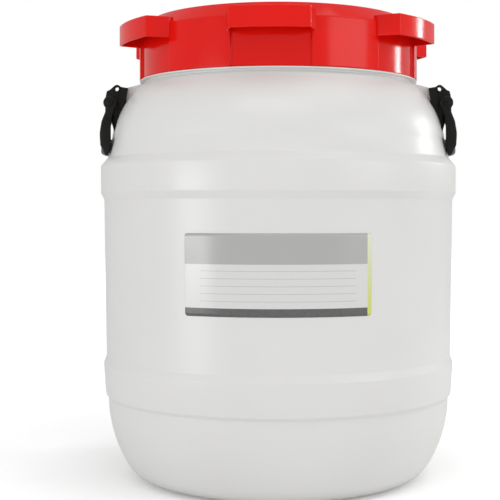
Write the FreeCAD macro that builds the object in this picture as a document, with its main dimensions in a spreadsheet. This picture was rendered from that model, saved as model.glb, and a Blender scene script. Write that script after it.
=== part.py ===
import FreeCAD, Part
import os
import re
import Sketcher

# Wide-mouth plastic drum with a six-lug screw lid and two swinging side handles.
# Millimetres and degrees, +Z up, origin on the floor under the centre of the foot.

doc = FreeCAD.newDocument("OpenHeadDrum")
sizes = doc.addObject("Spreadsheet::Sheet", "Sizes")

DRIVING_SIZES = [
    # Drum shell, from the floor up
    ("drum_wall", 2.7, "wall of the blown shell"),
    ("foot_run", 51.2, "run from the foot's outer edge to the knee"),
    ("foot_width", 24.5, "width of the flat foot ring"),
    ("push_height", 6.0, "rise of the pushed-up floor"),
    ("push_slope", 8.0, "run of the slope up to the pushed-up floor"),
    ("heel_radius", 35.0, "rounding from foot to flank"),
    ("knee_inset", 3.1, "knee, inside the lower band's bottom edge"),
    ("knee_height", 92.0, "height where the rounded flank ends"),
    ("lower_band_proud", 3.0, "lower band, proud of the waist"),
    ("lower_band_draft", 2.3, "how much narrower its bottom edge is"),
    ("knee_step", 3.6, "knee to the lower band's bottom edge"),
    ("lower_band_height", 34.0, "height of the lower band"),
    ("waist_taper", 2.6, "narrowing of the waist towards the lower band"),
    ("upper_band_proud", 3.8, "upper band, proud of the waist"),
    ("band_step", 7.9, "height of the slope beside a band"),
    ("band_radius", 202.5, "upper band, the widest place"),
    ("waist_height", 175.2, "height of the waist between the band slopes"),
    ("upper_band_height", 30.3, "height of the upper band"),
    ("root_inset", 7.5, "foot of the shoulder, inside the upper band"),
    ("root_step", 8.5, "height of the slope above the upper band"),
    ("root_lean", 4.7, "lean between the shoulder's foot and its dome"),
    ("shoulder_rise", 26.1, "upper band to the start of the dome"),
    ("dome_radius", 84.6, "rounding of the shoulder's dome"),
    ("dome_rise", 64.9, "height of the dome"),
    ("dome_run", 34.0, "run of the dome towards the collar"),
    ("collar_height", 5.6, "height of the collar under the lid"),
    ("collar_width", 8.3, "width of the collar's top around the neck"),
    ("neck_wall", 4.0, "wall of the neck"),
    ("neck_height", 53.0, "height of the neck above the collar"),
    # Screw thread shared by the neck and the lid
    ("thread_lead", 12.0, "rise for one turn"),
    ("thread_turns", 2.5, "turns on each part"),
    ("thread_depth", 4.0, "height of a ridge"),
    ("thread_root", 5.0, "width of a ridge at its root"),
    ("thread_crest", 3.0, "width of a ridge at its crest"),
    ("thread_rise", 10.0, "start of the neck's ridge above the collar"),
    ("thread_play", 0.3, "gap between the faces that pull the lid down"),
    ("thread_gap", 0.8, "gap between a crest and the wall it faces"),
    # Handle pads on the shoulder
    ("pad_half_width", 46.0, "half the width of a pad"),
    ("pad_inset", 2.2, "pad face at its foot, inside the dome's widest"),
    ("pad_rise", 22.0, "foot of the pad above the start of the dome"),
    ("pad_lean", 13.8, "lean of the pad face"),
    ("pad_height", 37.0, "height of the pad face"),
    ("pad_shelf_drop", 1.1, "pad's shelf below the top of the dome"),
    ("pad_rooting", 10.0, "depth that a pad reaches into the shoulder"),
    # Lid and gasket
    ("gasket_thickness", 4.0, "gasket, pressed between rim and lid"),
    ("gasket_lap", 3.0, "how far it reaches past the rim on each side"),
    ("skirt_gap", 0.8, "gap between skirt and collar"),
    ("skirt_wall", 6.2, "skirt wall between the lugs"),
    ("recess_wall", 3.1, "skirt wall in the recess behind a lug"),
    ("crown_height", 10.9, "crown above the gasket's seat"),
    ("crown_run", 11.2, "run of the sloping band"),
    ("crown_slope", 15.2, "height of the sloping band under the crown"),
    ("crown_ledge", 1.0, "small ledge between that band and the skirt"),
    ("crown_ring", 11.8, "crown's edge to the sunken centre"),
    ("panel_sink", 12.0, "depth of the sunken centre"),
    ("panel_slope", 3.0, "run of the slope around it"),
    ("panel_thickness", 4.0, "wall of the sunken centre"),
    ("plug_gap", 1.5, "gap between the lid's plug and the gasket"),
    ("lug_reach", 23.8, "lug, proud of the skirt"),
    ("lug_half_angle", 13.2, "half the angle of its outer face"),
    ("lug_root_proud", 1.0, "where its slanted sides end, proud of the skirt"),
    ("lug_root_half_angle", 16.2, "half its angle there"),
    ("lug_height", 22.5, "height of a lug"),
    ("lug_drop", 9.1, "top of a lug below the crown"),
    ("lug_wall", 2.6, "wall of a lug"),
    ("lug_count", 6, "lugs around the lid"),
    ("lid_turn", 27.2, "angle of the first lug when closed"),
    # Label
    ("label_rise", 57.6, "lower edge above the foot of the waist"),
    ("label_height", 82.8, "height of the sheet"),
    ("label_sweep", 56.5, "angle that it covers"),
    ("label_thickness", 0.4, "thickness of the sheet"),
    # Brackets
    ("bracket_gap", 0.3, "gap between bracket and shoulder"),
    ("cheek_thickness", 7.7, "thickness of a bracket's cheek"),
    ("plate_thickness", 3.7, "bracket plate, measured level"),
    ("plate_drop", 19.7, "plate's lower edge below the pivot"),
    ("plate_height", 30.5, "height of the plate"),
    ("tail_drop", 31.7, "cheek's tail below the pivot"),
    ("tail_inset", 4.0, "cheek's tail, inside the pivot"),
    ("cheek_proud", 6.1, "outer edge of the cheek, outside the pivot"),
    ("cheek_width", 18.3, "inner top corner of the cheek, inside the pivot"),
    ("eyelet_inset", 6.4, "centre of the tie eyelet, inside the pivot"),
    ("eyelet_rise", 15.8, "its height above the pivot"),
    ("eyelet_radius", 2.3, "its hole"),
    ("eyelet_rim", 4.6, "rounding of the ear around it"),
    ("cheek_waist", 2.6, "cheek's outer corner below the pivot, outside it"),
    ("cheek_waist_drop", 11.7, "its height below the pivot"),
    ("cheek_flat_drop", 3.2, "start of the cheek's upright edge, below the pivot"),
    ("cheek_flat_rise", 9.3, "end of that edge, above the pivot"),
    ("ear_slope", 3.0, "end of the corner above that edge, inside it"),
    ("ear_slope_drop", 1.5, "its height below the eyelet"),
    ("ear_slope_radius", 4.0, "rounding of that corner"),
    ("ear_foot", 4.8, "inner foot of the ear, from the eyelet"),
    ("ear_foot_rise", 2.4, "its height above the eyelet"),
    ("cheek_top_rise", 1.2, "cheek's inner top corner, above the eyelet"),
    ("cheek_back", 2.2, "lower end of the inner edge, outside its top"),
    ("cheek_back_rise", 4.3, "its height above the pivot"),
    ("cheek_rooting", 6.0, "depth of the cheek before it is fitted to the shoulder"),
    # Handles and pivot pins
    ("pivot_inset", 2.6, "pivot, inside the pad's foot"),
    ("pivot_rise", 20.7, "pivot above the pad's foot"),
    ("boss_radius", 7.5, "round boss of a handle arm"),
    ("arm_gap", 0.3, "gap between arm and cheek"),
    ("arm_thickness", 8.0, "thickness of a handle arm"),
    ("arm_proud", 10.5, "outer edge of the arm's broad part, outside the pivot"),
    ("arm_inset", 0.3, "inner edge of the arm, inside the pivot"),
    ("bulge_radius", 60.0, "curve of the arm's outer edge"),
    ("bulge_start", 11.6, "its lower end above the tip"),
    ("bulge_end", 37.5, "its upper end above the tip"),
    ("bulge_lean", 1.0, "its upper end, inside its lower end"),
    ("boss_neck", 10.0, "arm's neck below the pivot"),
    ("neck_drop", 15.2, "inner corner of the neck below the pivot"),
    ("neck_lean", 1.5, "that corner, inside the arm's inner edge"),
    ("arm_straight", 33.0, "length of the arm's straight inner edge"),
    ("tip_inset", 3.0, "tip's inner corner, outside the inner edge"),
    ("tip_slant", 0.6, "its height above the tip"),
    ("tip_flat", 5.0, "tip's lowest point, outside the inner edge"),
    ("tip_proud", 3.6, "tip's outer corner, inside the outer edge"),
    ("tip_rise", 3.4, "its height above the tip"),
    ("tip_radius", 4.5, "rounding of the tip"),
    ("step_inset", 2.2, "foot of the broad part, inside the outer edge"),
    ("step_height", 8.0, "its height above the tip"),
    ("arm_length", 58.5, "pivot down to the handle's tip"),
    ("grip_proud", 16.8, "outer face of the curved grip, outside the pivot"),
    ("grip_thickness", 8.0, "grip, from inner to outer face"),
    ("grip_drop", 55.7, "grip's underside below the pivot"),
    ("grip_height", 20.0, "height of the grip"),
    ("grip_round", 3.0, "rounding of its edges"),
    ("pin_radius", 2.5, "shank of a pivot pin"),
    ("pin_play", 0.08, "gap around the shank in the handle"),
    ("pin_head_radius", 4.0, "head of a pivot pin"),
    ("pin_head_height", 1.2, "thickness of the head"),
    ("pin_head_gap", 0.2, "gap between head and arm"),
]

for row, (alias, number, meaning) in enumerate(DRIVING_SIZES, start=1):
    sizes.set(f"A{row}", alias)
    sizes.set(f"B{row}", str(number))
    sizes.set(f"C{row}", meaning)
    sizes.setAlias(f"B{row}", alias)
doc.recompute()

# Places that follow from the sizes, as expressions
PLACES = {
    "wall_high_radius": "band_radius - upper_band_proud",
    "wall_low_radius": "wall_high_radius - waist_taper",
    "lower_band_radius": "wall_low_radius + lower_band_proud",
    "knee_radius": "lower_band_radius - lower_band_draft - knee_inset",
    "foot_radius": "knee_radius - foot_run",
    "lower_band_bottom": "knee_height + knee_step",
    "lower_band_top": "lower_band_bottom + lower_band_height",
    "wall_bottom": "lower_band_top + band_step",
    "wall_top": "wall_bottom + waist_height",
    "upper_band_bottom": "wall_top + band_step",
    "upper_band_top": "upper_band_bottom + upper_band_height",
    "root_radius": "band_radius - root_inset",
    "dome_low_radius": "root_radius - root_lean",
    "dome_low_height": "upper_band_top + shoulder_rise",
    "dome_top_height": "dome_low_height + dome_rise",
    "collar_radius": "dome_low_radius - dome_run",
    "collar_top": "dome_top_height + collar_height",
    "neck_radius": "collar_radius - collar_width",
    "mouth_radius": "neck_radius - neck_wall",
    "rim_height": "collar_top + neck_height",
    "thread_start": "collar_top + thread_rise",
    "pad_foot_reach": "dome_low_radius - pad_inset",
    "pad_foot_height": "dome_low_height + pad_rise",
    "pad_top_reach": "pad_foot_reach - pad_lean",
    "pad_top_height": "pad_foot_height + pad_height",
    "pad_shelf_height": "dome_top_height - pad_shelf_drop",
    "lid_bore": "neck_radius + thread_depth + thread_gap",
    "recess_radius": "lid_bore + recess_wall",
    "skirt_radius": "lid_bore + skirt_wall",
    "skirt_bottom": "collar_top + skirt_gap",
    "seat_height": "rim_height + gasket_thickness",
    "crown_top": "seat_height + crown_height",
    "crown_bottom": "crown_top - crown_slope",
    "plug_radius": "mouth_radius - gasket_lap - plug_gap",
    "panel_top": "crown_top - panel_sink",
    "panel_bottom": "panel_top - panel_thickness",
    "lug_top": "crown_top - lug_drop",
    "crown_radius": "skirt_radius - crown_ledge - crown_run",
    "panel_radius": "crown_radius - crown_ring",
    "lug_root_radius": "skirt_radius + lug_root_proud",
    "lug_radius": "skirt_radius + lug_reach",
    "label_bottom": "wall_bottom + label_rise",
    "label_top": "label_bottom + label_height",
    "cheek_start": "pad_half_width + bracket_gap",
    "cheek_end": "cheek_start + cheek_thickness",
    "arm_start": "cheek_end + arm_gap",
    "arm_end": "arm_start + arm_thickness",
    "pivot_reach": "pad_foot_reach - pivot_inset",
    "pivot_height": "pad_foot_height + pivot_rise",
    "plate_bottom": "pivot_height - plate_drop",
    "plate_top": "plate_bottom + plate_height",
    "tail_height": "pivot_height - tail_drop",
    "tail_reach": "pivot_reach - tail_inset",
    "cheek_reach": "pivot_reach + cheek_proud",
    "cheek_inner_reach": "pivot_reach - cheek_width",
    "eyelet_reach": "pivot_reach - eyelet_inset",
    "eyelet_height": "pivot_height + eyelet_rise",
    "arm_outer_reach": "pivot_reach + arm_proud",
    "arm_inner_reach": "pivot_reach - arm_inset",
    "grip_radius": "pivot_reach + grip_proud",
    "grip_bottom": "pivot_height - grip_drop",
    "grip_top": "grip_bottom + grip_height",
    "grip_inner_radius": "grip_radius - grip_thickness",
    "arm_tip": "pivot_height - arm_length",
    "boss_corner": "boss_radius * cos(45)",
}

ALIAS = re.compile(r"\b(" + "|".join(alias for alias, _, _ in DRIVING_SIZES) + r")\b")
PLACE = re.compile(r"\b(" + "|".join(PLACES) + r")\b")

UP = FreeCAD.Vector(0, 0, 1)
ACROSS = FreeCAD.Vector(1, 0, 0)
HALF_TURN = 180
QUARTER_TURN = 90
TINY = 1e-9
# Direction from the dome's centre to its upper end, as (outward, upward)
DOME_END = (0.6, 0.8)
# Directions from an eyelet's centre to the ends of the ear's rounding
EAR_START, EAR_END = (0.61, 0.79), (-0.6, 0.8)
# Most of the foot's run that its heel may take
HEEL_LIMIT = 0.8
DEGREES_PER_RADIAN = 57.3
# How deep a thread's ridge is rooted in its wall
THREAD_ROOTING = 0.3


def written_out(text):
    """Return the expression with each place written out in sizes."""
    while PLACE.search(text):
        text = PLACE.sub(lambda found: f"({PLACES[found[1]]})", text)
    return text


def bound(text):
    """Return the expression with each size read from the spreadsheet."""
    return ALIAS.sub(r"Sizes.\1", written_out(text))


def value(text):
    """Work out an expression of the sizes."""
    return float(sizes.evalExpression(written_out(text)))


def new_body(label):
    """Start a piece of its own, at the drum's origin."""
    body = doc.addObject("PartDesign::Body", label)
    body.Label = label
    return body


def origin_item(body, role):
    """Find one of the body's own planes or axes."""
    return next(item for item in body.Origin.OriginFeatures if item.Role == role)


def new_sketch(body, name, plane="XZ_Plane", offset=None):
    """Start a sketch on one of the body's planes, offset along the plane's normal."""
    sketch = body.newObject("Sketcher::SketchObject", name)
    sketch.AttachmentSupport = (origin_item(body, plane), [""])
    sketch.MapMode = "FlatFace"
    if offset:
        sketch.setExpression("AttachmentOffset.Base.z", bound(offset))
    return sketch


def drive(sketch, constraint, text):
    """Add a constraint whose size is an expression."""
    index = sketch.addConstraint(constraint)
    sketch.setExpression(f"Constraints[{index}]", bound(text))


def place_point(sketch, geometry, position, across, up):
    """Hold a point at two expressions, or on an axis where one of them is zero."""
    if across == "0":
        sketch.addConstraint(Sketcher.Constraint("PointOnObject", geometry, position, -2))
    else:
        along = Sketcher.Constraint("DistanceX", -1, 1, geometry, position, value(across))
        drive(sketch, along, across)
    if up == "0":
        sketch.addConstraint(Sketcher.Constraint("PointOnObject", geometry, position, -1))
    else:
        rise = Sketcher.Constraint("DistanceY", -1, 1, geometry, position, value(up))
        drive(sketch, rise, up)


def arc_between(start, end, radius, turn):
    """Make the short arc from start to end, turning left (1) or right (-1)."""
    chord = end - start
    height = max(radius ** 2 - chord.Length ** 2 / 4, TINY) ** 0.5
    side = FreeCAD.Vector(-chord.y, chord.x, 0).normalize()
    centre = (start + end) / 2 + side * height * turn
    first, last = (start, end) if turn > 0 else (end, start)
    angles = [FreeCAD.Vector(1, 0, 0).getAngle(point - centre) for point in (first, last)]
    signs = [1 if point.y >= centre.y else -1 for point in (first, last)]
    turns = [angle * sign for angle, sign in zip(angles, signs)]
    return Part.ArcOfCircle(Part.Circle(centre, UP, radius), *turns)


def draw_outline(sketch, stops):
    """Draw a closed outline through stops of (across, up), each an expression.

    A stop of (across, up, radius, turn) is reached by an arc instead of a line."""
    points = [FreeCAD.Vector(value(stop[0]), value(stop[1]), 0) for stop in stops]
    ends = []
    for number, stop in enumerate(stops):
        start, end = points[number - 1], points[number]
        if len(stop) == 2:
            geometry = sketch.addGeometry(Part.LineSegment(start, end), False)
            ends.append((geometry, 1, 2))
        else:
            radius, turn = stop[2], stop[3]
            arc = arc_between(start, end, value(radius), turn)
            geometry = sketch.addGeometry(arc, False)
            ends.append((geometry, 1, 2) if turn > 0 else (geometry, 2, 1))
    for number, (geometry, _, last) in enumerate(ends):
        following, first, _ = ends[(number + 1) % len(ends)]
        joined = Sketcher.Constraint("Coincident", geometry, last, following, first)
        sketch.addConstraint(joined)
        place_point(sketch, geometry, last, stops[number][0], stops[number][1])
    for (geometry, _, _), stop in zip(ends, stops):
        if len(stop) > 2:
            drive(sketch, Sketcher.Constraint("Radius", geometry, value(stop[2])), stop[2])


def draw_circle(sketch, across, up, radius):
    """Draw a circle at two expressions."""
    centre = FreeCAD.Vector(value(across), value(up), 0)
    geometry = sketch.addGeometry(Part.Circle(centre, UP, value(radius)), False)
    place_point(sketch, geometry, 3, across, up)
    drive(sketch, Sketcher.Constraint("Radius", geometry, value(radius)), radius)


def revolve(body, kind, name, stops, angle=None):
    """Turn an outline about the vertical axis, to add or cut."""
    sketch = new_sketch(body, name + "Outline")
    draw_outline(sketch, stops)
    feature = body.newObject(kind, name)
    feature.Profile = sketch
    feature.ReferenceAxis = (sketch, ["V_Axis"])
    feature.Angle = 360
    if angle:
        feature.Midplane = True
        feature.setExpression("Angle", bound(angle))
    return feature


def extrude(body, kind, name, sketch, length, symmetric=False):
    """Push a sketch out along its normal, to add or cut."""
    feature = body.newObject(kind, name)
    feature.Profile = sketch
    feature.Type = "Length"
    feature.setExpression("Length", bound(length))
    if symmetric:
        feature.SideType = "Symmetric"
    return feature


def thread(body, name, start, root, crest_direction):
    """Wind a ridge on a wall: crest_direction is + for outward, - for inward."""
    sign, back = ("+", "-") if crest_direction > 0 else ("-", "+")
    foot = f"{root} {back} {THREAD_ROOTING}"
    crest = f"{root} {sign} thread_depth"
    sketch = new_sketch(body, name + "Ridge")
    draw_outline(sketch, [
        (foot, f"{start} - thread_root / 2"),
        (crest, f"{start} - thread_crest / 2"),
        (crest, f"{start} + thread_crest / 2"),
        (foot, f"{start} + thread_root / 2"),
    ])
    doc.recompute()
    ridge = body.newObject("PartDesign::AdditiveHelix", name)
    ridge.Profile = sketch
    ridge.ReferenceAxis = (sketch, ["V_Axis"])
    ridge.Mode = "pitch-height-angle"
    ridge.setExpression("Pitch", bound("thread_lead"))
    ridge.setExpression("Height", bound("thread_lead * thread_turns"))
    return ridge


def wall_radius(height):
    """Radius of the drum's tapered waist at a height."""
    rate = "(wall_high_radius - wall_low_radius) / (wall_top - wall_bottom)"
    return f"(wall_low_radius + ({height} - wall_bottom) * {rate})"


def pad_reach(height):
    """Reach of the slanted pad face at a height."""
    lean = "(pad_foot_reach - pad_top_reach) / (pad_top_height - pad_foot_height)"
    return f"(pad_foot_reach - ({height} - pad_foot_height) * {lean})"


def drum_outline(inset, neck, top):
    """Outline of the drum's side from the floor to the top, set in from its outer skin.

    The foot's heel and flank are two arcs that meet smoothly."""
    run = "foot_run"
    heel = f"min(heel_radius; {HEEL_LIMIT} * {run})"
    flank = (f"(({run} ^ 2 + knee_height ^ 2 - 2 * knee_height * {heel})"
             f" / (2 * ({run} - {heel})))")
    meet_radius = f"foot_radius + ({heel} - {inset}) * ({flank} - {run}) / ({flank} - {heel})"
    meet_height = f"{heel} - ({heel} - {inset}) * (knee_height - {heel}) / ({flank} - {heel})"
    outward, upward = DOME_END
    return [
        ("0", f"push_height + {inset}"),
        ("foot_radius - foot_width - push_slope", f"push_height + {inset}"),
        ("foot_radius - foot_width", inset),
        ("foot_radius", inset),
        (meet_radius, meet_height, f"{heel} - {inset}", 1),
        (f"knee_radius - {inset}", "knee_height", f"{flank} - {inset}", 1),
        (f"lower_band_radius - lower_band_draft - {inset}", "lower_band_bottom"),
        (f"lower_band_radius - {inset}", "lower_band_top"),
        (f"wall_low_radius - {inset}", "wall_bottom"),
        (f"wall_high_radius - {inset}", "wall_top"),
        (f"band_radius - {inset}", "upper_band_bottom"),
        (f"band_radius - {inset}", "upper_band_top"),
        (f"root_radius - {inset}", "upper_band_top + root_step"),
        (f"dome_low_radius - {inset}", "dome_low_height"),
        (f"collar_radius - {outward} * {inset}", f"dome_top_height - {upward} * {inset}",
         f"dome_radius - {inset}", 1),
        *neck,
        ("0", top),
    ]


def make_drum_body():
    """Blown shell: foot, two raised bands, domed shoulder, pads, collar and threaded neck."""
    body = new_body("drum_body")
    neck = [
        ("collar_radius", "collar_top"),
        ("neck_radius", "collar_top"),
        ("neck_radius", "rim_height"),
    ]
    revolve(body, "PartDesign::Revolution", "Skin", drum_outline("0 * drum_wall", neck, "rim_height"))
    pads = new_sketch(body, "PadOutline")
    inner = "collar_radius - pad_rooting"
    draw_outline(pads, [
        (inner, "pad_foot_height"),
        ("pad_foot_reach", "pad_foot_height"),
        ("pad_top_reach", "pad_top_height"),
        ("collar_radius", "pad_shelf_height"),
        (inner, "pad_shelf_height"),
    ])
    pad = extrude(body, "PartDesign::Pad", "HandlePad", pads, "2 * pad_half_width", symmetric=True)
    doc.recompute()
    pair = body.newObject("PartDesign::Mirrored", "HandlePads")
    pair.Originals = [pad]
    pair.MirrorPlane = (origin_item(body, "YZ_Plane"), [""])
    body.Tip = pair
    mouth = [
        ("mouth_radius", "collar_top"),
        ("mouth_radius", "rim_height + drum_wall"),
    ]
    revolve(body, "PartDesign::Groove", "Cavity",
            drum_outline("drum_wall", mouth, "rim_height + drum_wall"))
    thread(body, "NeckThread", "thread_start", "neck_radius", 1)
    return body


def lug_stops(inset, inner):
    """Outline of one lug about the X axis, set in from its outer faces."""
    turned = f"{inset} / lug_root_radius * {DEGREES_PER_RADIAN}"
    tip, root = f"(lug_half_angle - {turned})", f"(lug_root_half_angle - {turned})"
    face = f"(lug_radius - {inset})"
    return [
        (f"{inner} * cos({root})", f"0 - {inner} * sin({root})", inner, -1),
        (f"lug_root_radius * cos({root})", f"0 - lug_root_radius * sin({root})"),
        (f"{face} * cos({tip})", f"0 - {face} * sin({tip})"),
        (f"{face} * cos({tip})", f"{face} * sin({tip})", face, 1),
        (f"lug_root_radius * cos({root})", f"lug_root_radius * sin({root})"),
        (f"{inner} * cos({root})", f"{inner} * sin({root})"),
    ]


def make_lid():
    """Screw lid: crown with a sunken centre, skirt with an inner thread, hollow lugs."""
    body = new_body("lid")
    revolve(body, "PartDesign::Revolution", "Shell", [
        ("lid_bore", "skirt_bottom"),
        ("skirt_radius", "skirt_bottom"),
        ("skirt_radius", "crown_bottom"),
        ("skirt_radius - crown_ledge", "crown_bottom"),
        ("crown_radius", "crown_top"),
        ("panel_radius + panel_slope", "crown_top"),
        ("panel_radius", "panel_top"),
        ("0", "panel_top"),
        ("0", "panel_bottom"),
        ("plug_radius", "panel_bottom"),
        ("plug_radius", "seat_height"),
        ("lid_bore", "seat_height"),
    ])
    lug_sketch = new_sketch(body, "LugOutline", "XY_Plane", "lug_top - lug_height")
    draw_outline(lug_sketch, lug_stops("0 * lug_wall", "(recess_radius - recess_wall / 2)"))
    lug = extrude(body, "PartDesign::Pad", "Lug", lug_sketch, "lug_height")
    doc.recompute()
    hollow_sketch = new_sketch(body, "LugHollowOutline", "XY_Plane", "lug_top - lug_wall")
    draw_outline(hollow_sketch, lug_stops("lug_wall", "recess_radius"))
    hollow = extrude(body, "PartDesign::Pocket", "LugHollow", hollow_sketch,
                     "lug_top - lug_wall - skirt_bottom + skirt_gap")
    doc.recompute()
    ring = body.newObject("PartDesign::PolarPattern", "Lugs")
    ring.Originals = [lug, hollow]
    ring.Axis = (origin_item(body, "Z_Axis"), [""])
    ring.Angle = 360
    ring.setExpression("Occurrences", bound("lug_count"))
    body.Tip = ring
    doc.recompute()
    flank = "((thread_root - thread_crest) / (2 * thread_depth))"
    meshed = f"((thread_root + thread_crest) / 2 - thread_gap * {flank})"
    start = f"(thread_start - {meshed} - thread_play + thread_lead * lid_turn / 360)"
    thread(body, "LidThread", start, "lid_bore", -1)
    body.Placement = FreeCAD.Placement(FreeCAD.Vector(), FreeCAD.Rotation(UP, value("lid_turn")))
    body.setExpression("Placement.Rotation.Angle", bound("lid_turn"))
    return body


def make_gasket():
    """Flat ring that the lid presses on the rim."""
    body = new_body("lid_gasket")
    inner = "(mouth_radius - gasket_lap)"
    outer = "(neck_radius + gasket_lap)"
    revolve(body, "PartDesign::Revolution", "Ring", [
        (inner, "rim_height"),
        (outer, "rim_height"),
        (outer, "seat_height"),
        (inner, "seat_height"),
    ])
    return body


def make_label():
    """Thin blank sheet on the waist, facing the front."""
    body = new_body("label")
    low, high = wall_radius("label_bottom"), wall_radius("label_top")
    revolve(body, "PartDesign::Revolution", "Sheet", [
        (low, "label_bottom"),
        (f"{low} + label_thickness", "label_bottom"),
        (f"{high} + label_thickness", "label_top"),
        (high, "label_top"),
    ], "label_sweep")
    body.Placement = FreeCAD.Placement(FreeCAD.Vector(), FreeCAD.Rotation(UP, -QUARTER_TURN))
    return body


def mirror_front_to_rear(body, features, name):
    """Repeat features behind the drum's centre plane."""
    doc.recompute()
    pair = body.newObject("PartDesign::Mirrored", name)
    pair.Originals = features
    pair.MirrorPlane = (origin_item(body, "XZ_Plane"), [""])
    body.Tip = pair
    doc.recompute()
    return pair


def make_bracket(side, turn):
    """Bracket on a shoulder pad: a leaning plate between two cheeks with ears."""
    body = new_body(f"{side}_bracket")
    cheek_sketch = new_sketch(body, "CheekOutline", offset="cheek_start")
    draw_outline(cheek_sketch, [
        ("cheek_inner_reach - cheek_rooting", "tail_height"),
        ("tail_reach", "tail_height"),
        ("pivot_reach + cheek_waist", "pivot_height - cheek_waist_drop"),
        ("cheek_reach", "pivot_height - cheek_flat_drop"),
        ("cheek_reach", "pivot_height + cheek_flat_rise"),
        ("cheek_reach - ear_slope", "eyelet_height - ear_slope_drop", "ear_slope_radius", 1),
        (f"eyelet_reach + {EAR_START[0]} * eyelet_rim", f"eyelet_height + {EAR_START[1]} * eyelet_rim"),
        (f"eyelet_reach + {EAR_END[0]} * eyelet_rim", f"eyelet_height + {EAR_END[1]} * eyelet_rim",
         "eyelet_rim", 1),
        ("eyelet_reach - ear_foot", "eyelet_height + ear_foot_rise"),
        ("cheek_inner_reach", "eyelet_height + cheek_top_rise"),
        ("cheek_inner_reach + cheek_back", "pivot_height + cheek_back_rise"),
    ])
    cheek = extrude(body, "PartDesign::Pad", "Cheek", cheek_sketch, "cheek_thickness")
    doc.recompute()
    hole_sketch = new_sketch(body, "HoleOutline", offset="cheek_end")
    draw_circle(hole_sketch, "pivot_reach", "pivot_height", "pin_radius")
    draw_circle(hole_sketch, "eyelet_reach", "eyelet_height", "eyelet_radius")
    holes = extrude(body, "PartDesign::Pocket", "Holes", hole_sketch, "cheek_thickness")
    mirror_front_to_rear(body, [cheek, holes], "Cheeks")
    plate_sketch = new_sketch(body, "PlateOutline")
    low, high = pad_reach("plate_bottom"), pad_reach("plate_top")
    draw_outline(plate_sketch, [
        (low, "plate_bottom"),
        (f"{low} + plate_thickness", "plate_bottom"),
        (f"{high} + plate_thickness", "plate_top"),
        (high, "plate_top"),
    ])
    extrude(body, "PartDesign::Pad", "Plate", plate_sketch, "2 * cheek_start", symmetric=True)
    over = [("collar_radius", "dome_top_height")]
    revolve(body, "PartDesign::Groove", "ShoulderRelief",
            drum_outline("(0 - bracket_gap)", over, "dome_top_height"))
    body.Placement = FreeCAD.Placement(FreeCAD.Vector(), FreeCAD.Rotation(UP, turn))
    return body


def make_handle(side, turn):
    """Swinging handle: a grip that follows the drum's curve between two arms."""
    body = new_body(f"{side}_handle")
    sweep = "2 * asin((arm_start + arm_thickness / 2) / (grip_radius - grip_thickness / 2))"
    revolve(body, "PartDesign::Revolution", "Grip", [
        ("grip_radius - grip_round", "grip_bottom"),
        ("grip_radius", "grip_bottom + grip_round", "grip_round", 1),
        ("grip_radius", "grip_top - grip_round"),
        ("grip_radius - grip_round", "grip_top", "grip_round", 1),
        ("grip_inner_radius + grip_round", "grip_top"),
        ("grip_inner_radius", "grip_top - grip_round", "grip_round", 1),
        ("grip_inner_radius", "grip_bottom + grip_round"),
        ("grip_inner_radius + grip_round", "grip_bottom", "grip_round", 1),
    ], sweep)
    arm_sketch = new_sketch(body, "ArmOutline", offset="arm_start")
    draw_outline(arm_sketch, [
        ("arm_inner_reach + tip_inset", "arm_tip + tip_slant"),
        ("arm_inner_reach + tip_flat", "arm_tip"),
        ("arm_outer_reach - tip_proud", "arm_tip + tip_rise", "tip_radius", 1),
        ("arm_outer_reach - step_inset", "arm_tip + step_height"),
        ("arm_outer_reach", "arm_tip + bulge_start"),
        ("arm_outer_reach - bulge_lean", "arm_tip + bulge_end", "bulge_radius", 1),
        ("pivot_reach + boss_corner", "pivot_height - boss_neck"),
        ("pivot_reach + boss_corner", "pivot_height - boss_corner"),
        ("pivot_reach + boss_corner", "pivot_height + boss_corner", "boss_radius", 1),
        ("pivot_reach - boss_corner", "pivot_height + boss_corner", "boss_radius", 1),
        ("pivot_reach - boss_corner", "pivot_height - boss_corner", "boss_radius", 1),
        ("arm_inner_reach - neck_lean", "pivot_height - neck_drop"),
        ("arm_inner_reach", "arm_tip + arm_straight"),
    ])
    arm = extrude(body, "PartDesign::Pad", "Arm", arm_sketch, "arm_thickness")
    mirror_front_to_rear(body, [arm], "Arms")
    bore_sketch = new_sketch(body, "BoreOutline")
    draw_circle(bore_sketch, "pivot_reach", "pivot_height", "pin_radius + pin_play")
    extrude(body, "PartDesign::Pocket", "Bores", bore_sketch, "4 * arm_end", symmetric=True)
    body.Placement = FreeCAD.Placement(FreeCAD.Vector(), FreeCAD.Rotation(UP, turn))
    return body


def make_pin(side, end, across, forward):
    """Headed pin through a cheek and an arm, its head outside."""
    body = new_body(f"{side}_{end}_pin")
    length = "(cheek_thickness + arm_gap + arm_thickness + pin_head_gap)"
    revolve(body, "PartDesign::Revolution", "Turned", [
        ("0", "0"),
        ("pin_radius", "0"),
        ("pin_radius", length),
        ("pin_head_radius", length),
        ("pin_head_radius", f"{length} + pin_head_height / 2"),
        ("pin_head_radius - pin_head_height / 2", f"{length} + pin_head_height"),
        ("0", f"{length} + pin_head_height"),
    ])
    body.Placement = FreeCAD.Placement(
        FreeCAD.Vector(), FreeCAD.Rotation(ACROSS, QUARTER_TURN * forward))
    body.setExpression("Placement.Base.x", bound(f"{across} * pivot_reach"))
    body.setExpression("Placement.Base.y", bound(f"{-forward} * cheek_start"))
    body.setExpression("Placement.Base.z", bound("pivot_height"))
    return body


parts = [make_drum_body(), make_lid(), make_gasket(), make_label()]
for side_name, side_turn, side_sign in (("right", 0, 1), ("left", HALF_TURN, -1)):
    parts.append(make_bracket(side_name, side_turn))
    parts.append(make_handle(side_name, side_turn))
    parts.append(make_pin(side_name, "front", side_sign, 1))
    parts.append(make_pin(side_name, "rear", side_sign, -1))
doc.recompute()

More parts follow.
